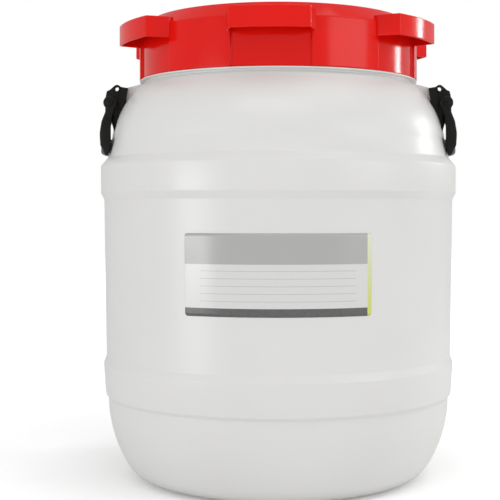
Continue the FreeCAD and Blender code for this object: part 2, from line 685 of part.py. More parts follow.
for item in doc.Objects:
    if "Invalid" in item.State or "Error" in item.State:
        raise RuntimeError(f"{item.Name} did not build: {item.State}")
for part in parts:
    if part.Shape.isNull() or not part.Shape.isValid() or len(part.Shape.Solids) != 1:
        raise RuntimeError(f"{part.Label} is not one sound solid")

os.makedirs("parts", exist_ok=True)
for part in parts:
    part.Shape.exportStep(f"parts/{part.Label}.step")
    print(part.Label, round(part.Shape.Volume / 1000, 1), "cm3")
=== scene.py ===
"""Plastic open head drum with a screw lid and two swinging handles."""
import math

import bmesh
import bpy
from bpy.props import FloatProperty, FloatVectorProperty, IntProperty, PointerProperty
from mathutils import Matrix, Vector


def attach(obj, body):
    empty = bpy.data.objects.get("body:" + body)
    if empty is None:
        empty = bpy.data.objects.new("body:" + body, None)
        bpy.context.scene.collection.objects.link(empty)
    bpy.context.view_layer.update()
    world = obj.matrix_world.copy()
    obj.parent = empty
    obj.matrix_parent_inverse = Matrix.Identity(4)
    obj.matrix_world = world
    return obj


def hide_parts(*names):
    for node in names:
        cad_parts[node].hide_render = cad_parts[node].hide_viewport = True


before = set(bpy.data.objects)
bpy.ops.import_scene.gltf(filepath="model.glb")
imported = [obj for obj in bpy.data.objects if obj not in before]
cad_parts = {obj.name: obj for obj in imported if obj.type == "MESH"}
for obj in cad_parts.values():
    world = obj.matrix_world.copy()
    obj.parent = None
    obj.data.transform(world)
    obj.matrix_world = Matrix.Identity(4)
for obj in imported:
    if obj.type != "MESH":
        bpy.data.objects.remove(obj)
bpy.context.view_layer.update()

bl_info = {
    "name": "Open Head Drum",
    "version": (1, 0, 0),
    "blender": (4, 5, 0),
    "location": "3D View > Sidebar > Drum",
    "description": "Makes a plastic open head drum with a screw lid and swinging handles",
    "category": "Add Mesh",
}

# Lengths in the tables are in millimetres, angles in degrees
MM = 0.001
FULL_TURN = 2 * math.pi
WELD = 1e-6
SMOOTH_ANGLE = math.radians(32)
SIDES = {"right": 0.0, "left": math.pi}
ENDS = {"front": -1, "rear": 1}

# Shell
FOOT_HEIGHT = 6.0
FOOT_INNER = 110.0
FOOT_RING = 118.0
# Arcs of the outline (centre across, centre up, radius) and the angles where they end
HEEL = (142.5, 35.0, 35.0)
FLANK = (50.3, 92.0, 143.4)
HEEL_END = -31.7
DOME = (105.8, 374.0, 84.6)
DOME_START, DOME_END = 2.03, 56.0
COLLAR_RADIUS = 153.0
COLLAR_LIP = 158.7
LIP_BOTTOM, COLLAR_TOP = 446.3, 447.8
NECK_RADIUS = 148.0
MOUTH_RADIUS = 144.0
RIM_HEIGHT = 500.5
# Lower and upper end of the waist's straight wall: radius, height
WALL_LOW = (196.1, 137.5)
WALL_HIGH = (198.7, 312.7)
# Raised bands and slopes between them: radius, height, rounding
BAND_STOPS = [
    (196.8, 95.6, 2.0),
    (199.1, 129.6, 1.8),
    (*WALL_LOW, 2.5),
    (*WALL_HIGH, 2.5),
    (202.5, 320.6, 2.2),
    (202.5, 350.9, 2.2),
    (195.0, 359.4, 4.0),
]

# Handle pads on the shoulder: reach and height of foot, top edge and shelf
PAD_HALF_WIDTH = 46.0
PAD_FOOT = (188.1, 399.0)
PAD_TOP = (174.3, 436.0)
PAD_SHELF = (156.3, 440.8)
# Widths over which a pad's sides, foot and top edge blend into the shoulder
PAD_BLEND = 0.7
PAD_FOOT_BLEND = 1.5
PAD_TOP_BLEND = 0.7

# Screw threads
THREAD_LEAD = 12.0
THREAD_TURNS = 2.5
THREAD_DEPTH = 4.0
THREAD_ROOT = 5.0
THREAD_CREST = 3.0
# How deep a ridge is rooted in its wall, and the share of a turn in which it runs out
THREAD_SINK = 0.6
THREAD_FADE = 0.07
THREAD_STEPS = 72
NECK_THREAD_START = 457.5
LID_THREAD_START = 454.3

# Lid
LID_TURN = math.radians(27.2)
LID_BORE = 152.8
SKIRT_BOTTOM = 448.1
SKIRT_RADIUS = 159.0
BAND_BOTTOM = 500.2
CROWN_RADIUS = 146.8
CROWN_TOP = 515.4
PANEL_RADIUS = 135.0
PANEL_TOP = 503.4
PANEL_UNDERSIDE = 499.4
# Slope from the crown down to the sunken centre
PANEL_SLOPE = 3.0
# Small steps on the sunken centre: radius, rise above it
PANEL_STEPS = [
    (PANEL_RADIUS - 7.0, 0.0),
    (PANEL_RADIUS - 8.2, 0.6),
    (6.0, 0.6),
    (4.8, 0.0),
    (3.6, 0.0),
    (2.0, 0.8),
    (0.0, 0.8),
]
PLUG_RADIUS = 139.5
SEAT_HEIGHT = 504.5
RECESS_RADIUS = 155.9
RECESS_TOP = 496.5
RECESS_HALF_ANGLE = math.radians(15.3)
# Steps around in a plain stretch of skirt beside a recess, in the recess, and in a lug
PLAIN_STEPS, RECESS_STEPS, LUG_STEPS = 7, 15, 14
LUG_COUNT = 6
LUG_INNER = 153.6
# Root and face of a lug: radius, half of its width as an angle
LUG_ROOT = (160.0, math.radians(16.6))
LUG_FACE = (182.8, math.radians(13.2))
# Narrow strip outside the root that takes up the bend of a lug's sides
LUG_SHOULDER = 0.8
LUG_TOP = 506.3
LUG_BOTTOM = 483.8
LUG_WALL = 2.6

# Label
LABEL_BOTTOM, LABEL_TOP = 195.1, 277.9
LABEL_HALF_ANGLE = math.radians(28.25)
LABEL_CORNER = 3.0
LABEL_CORNER_CUTS = (0.3, 0.9, 1.8, LABEL_CORNER)
LABEL_ROWS, LABEL_COLUMNS = 8, 60
# Places in the printed form: shares of its height, reaches across from its middle
LABEL_FOOTER_TOP, LABEL_HEADER_BOTTOM = 0.098, 0.627
LABEL_RULED_BOTTOM, LABEL_RULED_TOP = 0.17, 0.60
LABEL_RULES, LABEL_RULE_WEIGHT = 11.0, 0.075
LABEL_RULE_REACH = 78.0
LABEL_STRIPE_INNER = 89.3
LABEL_STRIPE_FADE = (0.74, 0.76, 0.60)
LABEL_SPECK = (0.45, 0.45, 0.44)

# Brackets, handles and pins
PIVOT = (185.5, 419.7)
EYELET = (179.1, 435.5)
EYELET_RADIUS, EYELET_RIM = 2.3, 3.9
CHEEK_INNER, CHEEK_STEP, CHEEK_OUTER = 46.3, 52.8, 54.0
ARM_INNER, ARM_OUTER = 54.3, 62.3
# Heights at which a cheek's hidden edge follows the shoulder
CHEEK_FOLLOWS = range(421, 387, -2)
# Outlines, seen along the pivot: reach, height, rounding
CHEEK_STOPS = [
    (181.5, 388.0, 1.2),
    (188.1, 408.0, 4.0),
    (190.8, 416.4, 4.0),
    (191.6, 427.4, 2.0),
    (190.3, 433.2, 1.6),
    (187.2, 434.4, 2.0),
    (179.3, 441.4, 4.0),
    (174.6, 437.9, 3.0),
    (167.2, 436.7, 0.5),
    (169.4, 424.0),
]
CHEEK_WEB_STOPS = [
    (179.4, 405.0, 1.0),
    (187.4, 408.4, 3.0),
    (190.4, 416.6, 3.0),
    (191.2, 427.2, 2.0),
    (189.9, 432.4, 1.6),
    (177.2, 432.0, 1.0),
]
ARM_STOPS = [
    (187.8, 361.9, 0.8),
    (191.0, 361.2, 2.5),
    (193.4, 368.0, 4.0),
    (196.2, 372.4, 3.0),
    (197.1, 386.0, 30.0),
    (194.9, 399.2, 8.0),
    (190.8, 409.4, 4.0),
]
ARM_INNER_STOPS = [
    (183.4, 405.0, 8.0),
    (185.3, 393.0, 12.0),
    (185.2, 372.0, 10.0),
]
# How deep a cheek's web and its eyelet's rim are rooted, and how much lower the rim stands
WEB_SINK, RIM_SINK, RIM_DROP = 2.5, 2.0, 0.3
# Plate between the cheeks (bottom, top, thickness), how far its ends stop short of the
# cheeks' step, and its stiffening ribs
PLATE = (400.0, 430.5, 3.7)
PLATE_END = 1.0
RIB_BOTTOMS = (401.5, 425.5)
RIB_HEIGHT, RIB_THICKNESS = 4.0, 5.8
BOSS_RADIUS = 7.5
GRIP_INNER, GRIP_OUTER = 194.3, 202.3
GRIP_BOTTOM, GRIP_TOP = 364.0, 384.0
GRIP_ROUND = 3.0
GRIP_STEPS = 24
PIN_RADIUS = 2.5
PIN_PLAY = 0.08
PIN_HEAD_RADIUS = 4.0
PIN_STEPS = 32
# Outline of a pin: radius, distance from the bracket's middle, rounding
PIN_STOPS = [
    (0.0, CHEEK_INNER),
    (PIN_RADIUS, CHEEK_INNER, 0.4),
    (PIN_RADIUS, ARM_OUTER + 0.2),
    (PIN_HEAD_RADIUS, ARM_OUTER + 0.2, 0.2),
    (PIN_HEAD_RADIUS, ARM_OUTER + 0.7, 0.5),
    (2.4, ARM_OUTER + 1.25, 3.0),
    (0.0, ARM_OUTER + 1.4),
]

# Wear of the shell: middle of a raised band, then how far from it wear is full and gone
UPPER_BAND_WEAR = (336.0, 13.0, 22.0)
LOWER_BAND_WEAR = (113.0, 14.0, 24.0)
FOOT_WEAR = (4.0, 20.0)
SHELL_SCUFF_TINT, SHELL_SCUFF_SHARE, SHELL_SCUFF_ROUGH = 0.90, 0.15, 0.06
# Mould seam in the plane of the handles: half width at full height and at its edge
SEAM = (0.2, 0.7)
# Pale pink marks on the lid, partly scuffing and partly a painted highlight, grow from the skirt
# to the crown
LID_SCUFF_AND_HIGHLIGHT_LOW, LID_SCUFF_AND_HIGHLIGHT_HIGH = 505.5, 515.0
LID_SCUFF_AND_HIGHLIGHT_SHARES = (0.06, 0.5)
LID_SCUFF_AND_HIGHLIGHT_TINT = (0.79, 0.07, 0.05)
LID_SCUFF_ROUGH = 0.25

# Floor, in metres: half its size, how far it lies below the foot, its darkest and palest tone
FLOOR_HALF = 6.0
FLOOR_DROP = 0.0004
FLOOR_TONES = ((0.90, 0.90, 0.90), (0.93, 0.93, 0.93))
# Glow that only the camera sees: distances from the drum, levels there. It is weaker near the
# drum, which paints shade round its foot, and grows far off to paint the floor white
FLOOR_GLOW_NEAR = (0.20, 0.32, 0.21, 0.33)
FLOOR_GLOW_FAR = (0.4, 2.5, 0.0, 0.35)
# Strength of the white surroundings as a light and as a background
WORLD_LIGHT, WORLD_SEEN = 0.59, 1.0

# Camera: place in metres, lens and sensor in millimetres, shift of the frame
CAMERA_PLACE = (0, -1.31625, 0.29903)
CAMERA_LENS, CAMERA_SENSOR = 82.0, 36.0
CAMERA_SHIFT = (-0.0566, -0.076)
CAMERA_CLIP = (0.05, 50.0)

# Softboxes: name, direction in degrees (around from the front, up), distance, width and
# height in metres, power in watts
LIGHT_AIM = (0.0, 0.0, 0.30)
LIGHTS = (
    ("Front Top", (-5, 50), 2.2, (1.5, 0.55), 6.0),
    ("Left Front", (-52, 0), 2.2, (0.80, 0.5), 9.5),
    ("Right Front", (56, 10), 2.2, (1.30, 1.0), 8.0),
    ("Right Rear", (113, 16), 1.7, (0.20, 0.40), 3.9),
    ("Overhead", (60, 60), 2.4, (1.3, 1.3), 6.0),
)


class DrumSizes(bpy.types.PropertyGroup):
    """Sizes that change how the drum's parts are made."""

    wall: FloatProperty(
        name="Shell Wall", description="Thickness of the blown wall", default=0.0027,
        min=0.001, max=0.006, unit="LENGTH")
    edge_round: FloatProperty(
        name="Lid Edge Rounding", description="Rounding of the lid's moulded edges",
        default=0.0012, min=0.0002, max=0.002, unit="LENGTH")
    hardware_round: FloatProperty(
        name="Hardware Edge Rounding", description="Rounding along brackets and arms",
        default=0.0009, min=0.0002, max=0.002, unit="LENGTH")
    shell_steps: IntProperty(
        name="Shell Steps", description="Steps around the shell", default=192, min=48, max=256)
    label_gap: FloatProperty(
        name="Label Seat", description="Distance of the sheet's back from the wall",
        default=0.00008, min=0.0, max=0.0003, unit="LENGTH")
    label_sheet: FloatProperty(
        name="Label Thickness", description="Thickness of the adhesive sheet",
        default=0.0003, min=0.0001, max=0.0005, unit="LENGTH")


class DrumFinishes(bpy.types.PropertyGroup):
    """Colours and gloss of the drum's materials."""

    shell: FloatVectorProperty(
        name="Shell", description="Colour of the shell", subtype="COLOR", size=3,
        default=(0.745, 0.742, 0.728), min=0, max=1)
    lid: FloatVectorProperty(
        name="Lid", description="Colour of the lid", subtype="COLOR", size=3,
        default=(0.770, 0.0060, 0.0025), min=0, max=1)
    hardware: FloatVectorProperty(
        name="Hardware", description="Colour of brackets and handles", subtype="COLOR", size=3,
        default=(0.0055, 0.0055, 0.0045), min=0, max=1)
    gasket: FloatVectorProperty(
        name="Gasket", description="Colour of the sealing ring", subtype="COLOR", size=3,
        default=(0.030, 0.030, 0.029), min=0, max=1)
    pins: FloatVectorProperty(
        name="Pins", description="Colour of the pivot pins", subtype="COLOR", size=3,
        default=(0.020, 0.020, 0.019), min=0, max=1)
    sheet: FloatVectorProperty(
        name="Label Sheet", description="Colour of the label's open field", subtype="COLOR",
        size=3, default=(0.70, 0.70, 0.69), min=0, max=1)
    header: FloatVectorProperty(
        name="Label Header", description="Colour of the label's upper field",
        subtype="COLOR", size=3, default=(0.43, 0.43, 0.42), min=0, max=1)
    footer: FloatVectorProperty(
        name="Label Footer", description="Colour of the label's lowest field",
        subtype="COLOR", size=3, default=(0.10, 0.105, 0.105), min=0, max=1)
    accent: FloatVectorProperty(
        name="Label Accent", description="Colour of the stripe along the label's right edge",
        subtype="COLOR", size=3, default=(0.62, 0.68, 0.12), min=0, max=1)
    shell_roughness: FloatProperty(
        name="Shell Roughness", description="Roughness of the shell", default=0.32,
        min=0, max=1, subtype="FACTOR")
    lid_roughness: FloatProperty(
        name="Lid Roughness", description="Roughness of the lid", default=0.14,
        min=0, max=1, subtype="FACTOR")
    hardware_roughness: FloatProperty(
        name="Hardware Roughness", description="Roughness of brackets and handles",
        default=0.36, min=0, max=1, subtype="FACTOR")


def sizes():
    return bpy.context.scene.drum_sizes


def finishes():
    return bpy.context.scene.drum_finishes


# Outlines

def arc(shape, start, end, steps):
    """Points of an arc about (across, up) with a radius, between two angles in degrees."""
    across, up, radius = shape
    points = []
    for step in range(steps + 1):
        angle = math.radians(start + (end - start) * step / steps)
        points.append((across + radius * math.cos(angle), up + radius * math.sin(angle)))
    return points


def rounded(stops, closed=False):
    """Points of an outline, with a small arc at each stop that has a radius."""
    points = []
    for place, stop in enumerate(stops):
        here = Vector(stop[:2])
        radius = stop[2] if len(stop) > 2 else 0
        if not radius or (not closed and place in (0, len(stops) - 1)):
            points.append(here)
            continue
        back = (Vector(stops[place - 1][:2]) - here).normalized()
        ahead = (Vector(stops[(place + 1) % len(stops)][:2]) - here).normalized()
        half = back.angle(ahead) / 2
        centre = here + (back + ahead).normalized() * (radius / math.sin(half))
        reach = radius / math.tan(half)
        first, last = here + back * reach - centre, here + ahead * reach - centre
        steps = max(2, math.ceil((math.pi - 2 * half) / math.radians(14)))
        for step in range(steps + 1):
            points.append(centre + first.slerp(last, step / steps).normalized() * radius)
    return points


def inset(stops, distance):
    """Stops of the same outline, moved to its left by a distance."""
    moved = []
    for place, stop in enumerate(stops):
        here = Vector(stop[:2])
        normals = []
        for a, b in ((place - 1, place), (place, place + 1)):
            if a >= 0 and b < len(stops):
                run = (Vector(stops[b][:2]) - Vector(stops[a][:2])).normalized()
                normals.append(Vector((-run.y, run.x)))
        total = sum(normals, Vector((0, 0)))
        shift = total * (distance / (total.dot(normals[0])))
        moved.append((*(here + shift), *stop[2:]))
    return moved


def shell_skin():
    """Outside of the shell from the middle of the base to the collar's foot."""
    return [
        (0.0, FOOT_HEIGHT),
        (FOOT_INNER, FOOT_HEIGHT, 4.0),
        (FOOT_RING, 0.0, 3.5),
        *arc(HEEL, -90, HEEL_END, 14),
        *arc(FLANK, HEEL_END, 0, 16)[1:],
        *BAND_STOPS,
        *arc(DOME, DOME_START, DOME_END, 28),
        (COLLAR_RADIUS, LIP_BOTTOM - 0.2, 1.0),
    ]


def shoulder_reach(height):
    """Radius of the shoulder's outside at a height."""
    top = DOME[2] * math.sin(math.radians(DOME_END))
    return DOME[0] + math.sqrt(DOME[2] ** 2 - min(height - DOME[1], top) ** 2)


def wall_reach(height):
    """Radius of the waist's outside at a height."""
    share = (height - WALL_LOW[1]) / (WALL_HIGH[1] - WALL_LOW[1])
    return WALL_LOW[0] + (WALL_HIGH[0] - WALL_LOW[0]) * share


def pad_reach(height):
    """Reach of a handle pad's face at a height."""
    low, high = (PAD_FOOT, PAD_TOP) if height <= PAD_TOP[1] else (PAD_TOP, PAD_SHELF)
    return low[0] + (high[0] - low[0]) * (height - low[1]) / (high[1] - low[1])


# Mesh helpers

def wire(bm, points, closed=False):
    """A run of edges through points, as geometry for a spin."""
    verts = [bm.verts.new(point) for point in points]
    pairs = list(zip(verts, verts[1:])) + ([(verts[-1], verts[0])] if closed else [])
    return verts + [bm.edges.new(pair) for pair in pairs]


def spin(bm, geometry, angle, steps, rise=0.0):
    """Turns geometry about the upright axis and returns where it ends."""
    full = abs(angle - FULL_TURN) < WELD and not rise
    made = bmesh.ops.spin(
        bm, geom=geometry, cent=(0, 0, 0), axis=(0, 0, 1), dvec=(0, 0, rise),
        angle=angle, steps=steps, use_merge=full, use_duplicate=False)
    return made["geom_last"]


def lathe(bm, points, steps):
    """Full turn of an outline of (radius, height) in millimetres."""
    spin(bm, wire(bm, [(r * MM, 0, z * MM) for r, z in points]), FULL_TURN, steps)


def thread_ridge(bm, wall, crest, start):
    """Screw ridge on a round wall, with ends that run out into it."""
    root = wall - math.copysign(THREAD_SINK, crest - wall)
    section = [(root, -THREAD_ROOT / 2), (crest, -THREAD_CREST / 2),
               (crest, THREAD_CREST / 2), (root, THREAD_ROOT / 2)]
    old = set(bm.verts)
    geometry = wire(bm, [(r * MM, 0, (start + z) * MM) for r, z in section], closed=True)
    face = bm.faces.new(geometry[:len(section)])
    spin(bm, geometry + [face], THREAD_TURNS * FULL_TURN, round(THREAD_TURNS * THREAD_STEPS),
         THREAD_LEAD * MM / THREAD_STEPS)
    for vert in set(bm.verts) - old:
        angle = math.atan2(vert.co.y, vert.co.x) % FULL_TURN / FULL_TURN
        turn = angle + round((vert.co.z / MM - start) / THREAD_LEAD - angle)
        share = min(1.0, max(0.0, min(turn, THREAD_TURNS - turn) / THREAD_FADE))
        radius = vert.co.xy.length
        vert.co.xy *= (root * MM + (radius - root * MM) * share) / radius


def clean(bm):
    """Closes seams and poles and turns every face outwards."""
    bmesh.ops.remove_doubles(bm, verts=bm.verts, dist=WELD)
    bmesh.ops.dissolve_degenerate(bm, dist=WELD, edges=bm.edges)
    bmesh.ops.recalc_face_normals(bm, faces=bm.faces)


def flat_part(outline, holes, low, high, edge):
    """Plate of an (across, up) outline, filled from a flat curve, between two depths in y."""
    curve = bpy.data.curves.new("outline", "CURVE")
    curve.dimensions, curve.fill_mode = "2D", "BOTH"
    thickness = high - low
    curve.extrude = (thickness / 2) * MM - edge
    curve.bevel_depth, curve.bevel_resolution, curve.offset = edge, 2, -edge
    for points in [outline, *holes]:
        spline = curve.splines.new("POLY")
        spline.points.add(len(points) - 1)
        for point, (across, up) in zip(spline.points, points):
            point.co = (across * MM, up * MM, 0, 1)
        spline.use_cyclic_u = True
    carrier = bpy.data.objects.new("outline", curve)
    mesh = bpy.data.meshes.new_from_object(carrier)
    mesh.transform(Matrix.Translation((0, (low + high) / 2 * MM, 0))
                   @ Matrix.Rotation(math.pi / 2, 4, "X"))
    bm = bmesh.new()
    bm.from_mesh(mesh)
    bpy.data.objects.remove(carrier)
    bpy.data.curves.remove(curve)
    bpy.data.meshes.remove(mesh)
    clean(bm)
    return bm


def circle(centre, radius, steps=28):
    """Closed ring of points, clockwise, for a hole."""
    return arc((*centre, radius), 360, 360 / steps, steps - 1)


def join(target, source):
    """Adds one bmesh to another and frees it."""
    mesh = bpy.data.meshes.new("part")
    source.to_mesh(mesh)
    source.free()
    target.from_mesh(mesh)
    bpy.data.meshes.remove(mesh)


def piece(bm, name, body, slot, material, *nodes, turn=0.0):
    """Makes a named object of a bmesh that rides on a body and stands for nodes."""
    if turn:
        bmesh.ops.rotate(bm, verts=bm.verts, cent=(0, 0, 0), matrix=Matrix.Rotation(turn, 3, "Z"))
    mesh = bpy.data.meshes.new(name)
    bm.to_mesh(mesh)
    bm.free()
    mesh.shade_smooth()
    mesh.set_sharp_from_angle(angle=SMOOTH_ANGLE)
    mesh.materials.append(material)
    made = bpy.data.objects.new(name, mesh)
    bpy.context.scene.collection.objects.link(made)
    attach(made, body)
    if nodes:
        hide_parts(*nodes)
    return made


def round_edges(made, width, angle=35):
    """Rounds a piece's hard edges so that they catch light."""
    bevel = made.modifiers.new("Edge Rounding", "BEVEL")
    bevel.width, bevel.segments, bevel.profile = width, 3, 0.5
    bevel.limit_method, bevel.angle_limit = "ANGLE", math.radians(angle)
    bevel.harden_normals = True
    made.data.shade_smooth()


# Material helpers

class Graph:
    """Short way to add and link a material's nodes."""

    def __init__(self, name):
        self.material = bpy.data.materials.new(name)
        self.material.use_nodes = True
        self.tree = self.material.node_tree
        self.shader = self.tree.nodes["Principled BSDF"]
        self.place = self.add("ShaderNodeTexCoord").outputs["Object"]

    def add(self, kind, values=(), **settings):
        node = self.tree.nodes.new(kind)
        for name, setting in settings.items():
            setattr(node, name, setting)
        for socket, value in dict(values).items():
            if isinstance(value, bpy.types.NodeSocket):
                self.tree.links.new(value, node.inputs[socket])
            else:
                node.inputs[socket].default_value = value
        return node

    def set(self, socket, value):
        if isinstance(value, bpy.types.NodeSocket):
            self.tree.links.new(value, self.shader.inputs[socket])
        else:
            self.shader.inputs[socket].default_value = value

    def noise(self, scale, detail=3.0, roughness=0.5, stretch=None):
        place = self.place
        if stretch:
            place = self.add("ShaderNodeMapping", {"Vector": place, "Scale": stretch}).outputs[0]
        return self.add("ShaderNodeTexNoise", {
            "Vector": place, "Scale": scale, "Detail": detail, "Roughness": roughness}).outputs[0]

    def span(self, value, low, high, to_low=0.0, to_high=1.0):
        return self.add("ShaderNodeMapRange", {
            0: value, 1: low, 2: high, 3: to_low, 4: to_high}).outputs[0]

    def spread(self, noise, low, high):
        """A value that drifts between two others with a noise."""
        return self.span(noise, 0.3, 0.7, low, high)

    def maths(self, operation, first, second=0.0):
        return self.add("ShaderNodeMath", {0: first, 1: second}, operation=operation).outputs[0]

    def mix(self, share, first, second):
        node = self.add("ShaderNodeMix", {0: share}, data_type="RGBA")
        for socket, value in ((6, first), (7, second)):
            if isinstance(value, bpy.types.NodeSocket):
                self.tree.links.new(value, node.inputs[socket])
            else:
                node.inputs[socket].default_value = (*value, 1.0)
        return node.outputs[2]

    def clouded(self, colour, scale, detail, darker, lighter):
        """A colour that drifts between two of its tints in soft clouds."""
        clouds = self.span(self.noise(scale, detail), 0.35, 0.65)
        return self.mix(clouds, tinted(colour, darker), tinted(colour, lighter))

    def off_middle(self, value, middle, inner, outer):
        """Full up to a distance from a middle, gone at a greater one, in millimetres."""
        away = self.maths("ABSOLUTE", self.maths("SUBTRACT", value, middle * MM))
        return self.span(away, inner * MM, outer * MM, 1.0, 0.0)

    def bump(self, height, distance, strength=1.0, under=None):
        values = {"Height": height, "Distance": distance, "Strength": strength}
        if under:
            values["Normal"] = under
        return self.add("ShaderNodeBump", values).outputs[0]


def tinted(colour, share):
    """A colour made darker or lighter by a share."""
    return tuple(min(1.0, channel * share) for channel in colour)


def shell_material():
    graph = Graph("Blown Polyethylene")
    looks = finishes()
    colour = graph.clouded(looks.shell, 5.0, 2.0, 0.985, 1.01)
    scratches = graph.span(graph.noise(22.0, 5.0, 0.6, (1.0, 1.0, 0.22)), 0.66, 0.72)
    axes = graph.add("ShaderNodeSeparateXYZ", {0: graph.place})
    upper = graph.off_middle(axes.outputs[2], *UPPER_BAND_WEAR)
    lower = graph.off_middle(axes.outputs[2], *LOWER_BAND_WEAR)
    foot = graph.off_middle(axes.outputs[2], 0.0, *FOOT_WEAR)
    worn = graph.maths("MAXIMUM", graph.maths("MAXIMUM", upper, lower), foot)
    scuffed = graph.maths("MULTIPLY", scratches, worn)
    graph.set("Base Color", graph.mix(graph.maths("MULTIPLY", scuffed, SHELL_SCUFF_SHARE),
                                      colour, tinted(looks.shell, SHELL_SCUFF_TINT)))
    base = looks.shell_roughness
    rough = graph.spread(graph.noise(60.0, 3.0), base - 0.03, base + 0.04)
    graph.set("Roughness", graph.maths("ADD", rough,
                                       graph.maths("MULTIPLY", scuffed, SHELL_SCUFF_ROUGH)))
    seam = graph.off_middle(axes.outputs[1], 0.0, *SEAM)
    ripple = graph.bump(graph.noise(16.0, 2.0, 0.4, (1.0, 1.0, 0.5)), 0.0006, 0.35)
    skin = graph.bump(graph.noise(900.0, 2.0), 0.00006, 0.25, ripple)
    graph.set("Normal", graph.bump(seam, 0.0002, 0.6, skin))
    graph.set("Subsurface Weight", 0.08)
    graph.set("Subsurface Radius", (0.004, 0.0036, 0.003))
    graph.set("Specular IOR Level", 0.45)
    return graph.material


def lid_material():
    graph = Graph("Moulded Red Plastic")
    looks = finishes()
    colour = graph.clouded(looks.lid, 9.0, 2.0, 0.96, 1.02)
    # pale pink marks, partly scuffs and partly a painted highlight, denser towards the crown
    marks = graph.span(graph.noise(34.0, 6.0, 0.62, (1.0, 1.0, 0.5)), 0.66, 0.73)
    axes = graph.add("ShaderNodeSeparateXYZ", {0: graph.place})
    worn = graph.span(axes.outputs[2], LID_SCUFF_AND_HIGHLIGHT_LOW * MM, LID_SCUFF_AND_HIGHLIGHT_HIGH * MM, *LID_SCUFF_AND_HIGHLIGHT_SHARES)
    scuffed = graph.maths("MULTIPLY", marks, worn)
    graph.set("Base Color", graph.mix(scuffed, colour, LID_SCUFF_AND_HIGHLIGHT_TINT))
    base = looks.lid_roughness
    rough = graph.spread(graph.noise(45.0, 3.0), base - 0.03, base + 0.05)
    graph.set("Roughness", graph.maths("ADD", rough,
                                       graph.maths("MULTIPLY", scuffed, LID_SCUFF_ROUGH)))
    waves = graph.bump(graph.noise(18.0, 2.0, 0.4, (1.0, 1.0, 1.6)), 0.0006, 0.30)
    graph.set("Normal", graph.bump(graph.noise(800.0, 2.0), 0.00005, 0.18, waves))
    graph.set("Specular IOR Level", 0.28)
    return graph.material


def hardware_material():
    graph = Graph("Black Nylon")
    looks = finishes()
    colour = graph.clouded(looks.hardware, 60.0, 3.0, 0.8, 1.25)
    marks = graph.span(graph.noise(240.0, 5.0, 0.6, (1.0, 1.0, 0.3)), 0.62, 0.72)
    graph.set("Base Color", graph.mix(graph.maths("MULTIPLY", marks, 0.4), colour,
                                      tinted(looks.hardware, 3.2)))
    base = looks.hardware_roughness
    graph.set("Roughness", graph.spread(graph.noise(180.0, 3.0), base - 0.05, base + 0.07))
    graph.set("Normal", graph.bump(graph.noise(1500.0, 2.0), 0.00008, 0.35))
    graph.set("Specular IOR Level", 0.22)
    return graph.material


def gasket_material():
    graph = Graph("Foamed Seal")
    looks = finishes()
    cells = graph.noise(900.0, 3.0, 0.6)
    graph.set("Base Color", graph.mix(graph.span(cells, 0.35, 0.7), tinted(looks.gasket, 0.86),
                                      tinted(looks.gasket, 1.05)))
    graph.set("Roughness", graph.spread(graph.noise(120.0, 2.0), 0.66, 0.8))
    graph.set("Normal", graph.bump(cells, 0.0002, 0.5))
    return graph.material


def pin_material():
    graph = Graph("Zinc Plated Steel")
    looks = finishes()
    graph.set("Base Color", graph.clouded(looks.pins, 700.0, 3.0, 0.8, 1.2))
    graph.set("Metallic", 1.0)
    graph.set("Roughness", graph.spread(graph.noise(900.0, 3.0), 0.34, 0.5))
    graph.set("Normal", graph.bump(graph.noise(2500.0, 2.0), 0.00004, 0.4))
    return graph.material


def label_material():
    """Blank form: a header and footer field, ruled lines and a stripe at the right edge."""
    graph = Graph("Label Film")
    looks = finishes()
    axes = graph.add("ShaderNodeSeparateXYZ", {0: graph.place})
    across, up = axes.outputs[0], axes.outputs[2]
    height = graph.span(up, LABEL_BOTTOM * MM, LABEL_TOP * MM)
    fields = graph.add("ShaderNodeValToRGB", {0: height})
    ramp = fields.color_ramp
    ramp.interpolation = "CONSTANT"
    stops = [(0.0, looks.footer), (LABEL_FOOTER_TOP, looks.sheet),
             (LABEL_HEADER_BOTTOM, looks.header)]
    while len(ramp.elements) < len(stops):
        ramp.elements.new(1.0)
    for element, (position, colour) in zip(ramp.elements, stops):
        element.position = position
        element.color = (*colour, 1.0)
    inside = graph.maths("LESS_THAN", graph.maths("ABSOLUTE", across), LABEL_RULE_REACH * MM)
    count = graph.maths("MULTIPLY", height, LABEL_RULES)
    rows = graph.maths("LESS_THAN", graph.maths("FRACT", count), LABEL_RULE_WEIGHT)
    field = graph.maths("MULTIPLY", graph.maths("GREATER_THAN", height, LABEL_RULED_BOTTOM),
                        graph.maths("LESS_THAN", height, LABEL_RULED_TOP))
    ruled = graph.maths("MULTIPLY", graph.maths("MULTIPLY", inside, rows), field)
    colour = graph.mix(graph.maths("MULTIPLY", ruled, 0.7), fields.outputs[0], looks.header)
    fade = graph.mix(height, looks.accent, LABEL_STRIPE_FADE)
    stripe = graph.maths("GREATER_THAN", across, LABEL_STRIPE_INNER * MM)
    colour = graph.mix(stripe, colour, fade)
    specks = graph.spread(graph.noise(300.0, 4.0), 0.0, 0.06)
    graph.set("Base Color", graph.mix(specks, colour, LABEL_SPECK))
    graph.set("Roughness", graph.spread(graph.noise(90.0, 3.0), 0.20, 0.27))
    graph.set("Normal", graph.bump(graph.noise(70.0, 2.0), 0.0001, 0.12))
    return graph.material


